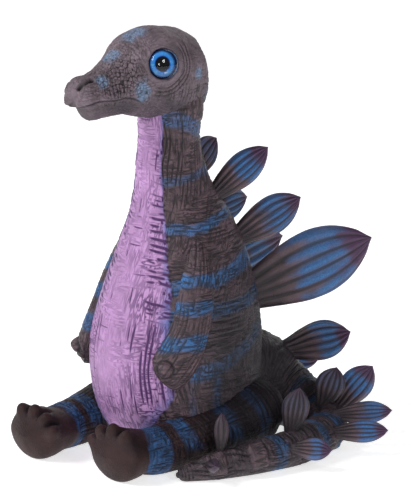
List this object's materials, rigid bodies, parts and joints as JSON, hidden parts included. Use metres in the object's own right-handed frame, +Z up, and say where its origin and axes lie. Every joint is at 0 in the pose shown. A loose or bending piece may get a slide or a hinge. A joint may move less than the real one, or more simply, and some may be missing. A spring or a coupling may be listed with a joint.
{
  "type": "stegosaurus figure",
  "caption": "Filled soft figure of a sitting stegosaurus with a long neck, two rows of fluted back plates and a tail curled round to its left foot.",
  "frame": {"origin": "centre of the flat underside, on the base plug, in the plane that the figure rests on", "axes": "+Z up, along the neck; the dinosaur looks along -Y and its left side is +X, the side its tail curls to"},
  "size_m": [0.0954, 0.1146, 0.1426],
  "materials": {
    "torso_shell": "satin, carved with a fine cross-hatch, lilac belly and brown back with blue bands",
    "head_shell": "satin, carved skin, brown with blue patches",
    "left_arm": "satin, carved skin",
    "right_arm": "satin, carved skin",
    "left_leg": "satin, carved skin with a smooth foot",
    "right_leg": "satin, carved skin with a smooth foot",
    "tail": "satin, carved skin with blue bands",
    "base_plug": "matt",
    "bead_ballast": "loose pellets",
    "fibre_filling": "loose white fibre",
    "left_eye_disc": "painted blue iris with a black pupil",
    "left_eye_dome": "clear and polished",
    "right_eye_disc": "painted blue iris with a black pupil",
    "right_eye_dome": "clear and polished",
    "back_plate_left_1": "satin, fluted, brown root, blue middle, purple tip",
    "back_plate_left_2": "satin, fluted, brown root, blue middle, purple tip",
    "back_plate_left_3": "satin, fluted, brown root, blue middle, purple tip",
    "back_plate_right_1": "satin, fluted, brown root, blue middle, purple tip",
    "back_plate_right_2": "satin, fluted, brown root, blue middle, purple tip",
    "back_plate_right_3": "satin, fluted, brown root, blue middle, purple tip",
    "back_plate_right_4": "satin, fluted, brown root, blue middle, purple tip",
    "tail_plate_inner_1": "satin, fluted",
    "tail_plate_inner_2": "satin, fluted",
    "tail_plate_inner_3": "satin, fluted",
    "tail_plate_outer_1": "satin, fluted",
    "tail_plate_outer_2": "satin, fluted",
    "tail_plate_outer_3": "satin, fluted",
    "tail_plate_outer_4": "satin, fluted",
    "tail_plate_outer_5": "satin, fluted",
    "tail_spike_inner": "satin",
    "tail_spike_outer": "satin"
  },
  "bodies": {
    "root": {"torso_shell": "torso_shell", "head_shell": "head_shell", "left_arm": "left_arm", "right_arm": "right_arm", "left_leg": "left_leg", "right_leg": "right_leg", "tail": "tail", "base_plug": "base_plug", "bead_ballast": "bead_ballast", "fibre_filling": "fibre_filling", "left_eye_disc": "left_eye_disc", "left_eye_dome": "left_eye_dome", "right_eye_disc": "right_eye_disc", "right_eye_dome": "right_eye_dome", "back_plate_left_1": "back_plate_left_1", "back_plate_left_2": "back_plate_left_2", "back_plate_left_3": "back_plate_left_3", "back_plate_right_1": "back_plate_right_1", "back_plate_right_2": "back_plate_right_2", "back_plate_right_3": "back_plate_right_3", "back_plate_right_4": "back_plate_right_4", "tail_plate_inner_1": "tail_plate_inner_1", "tail_plate_inner_2": "tail_plate_inner_2", "tail_plate_inner_3": "tail_plate_inner_3", "tail_plate_outer_1": "tail_plate_outer_1", "tail_plate_outer_2": "tail_plate_outer_2", "tail_plate_outer_3": "tail_plate_outer_3", "tail_plate_outer_4": "tail_plate_outer_4", "tail_plate_outer_5": "tail_plate_outer_5", "tail_spike_inner": "tail_spike_inner", "tail_spike_outer": "tail_spike_outer"}
  },
  "joints": []
}
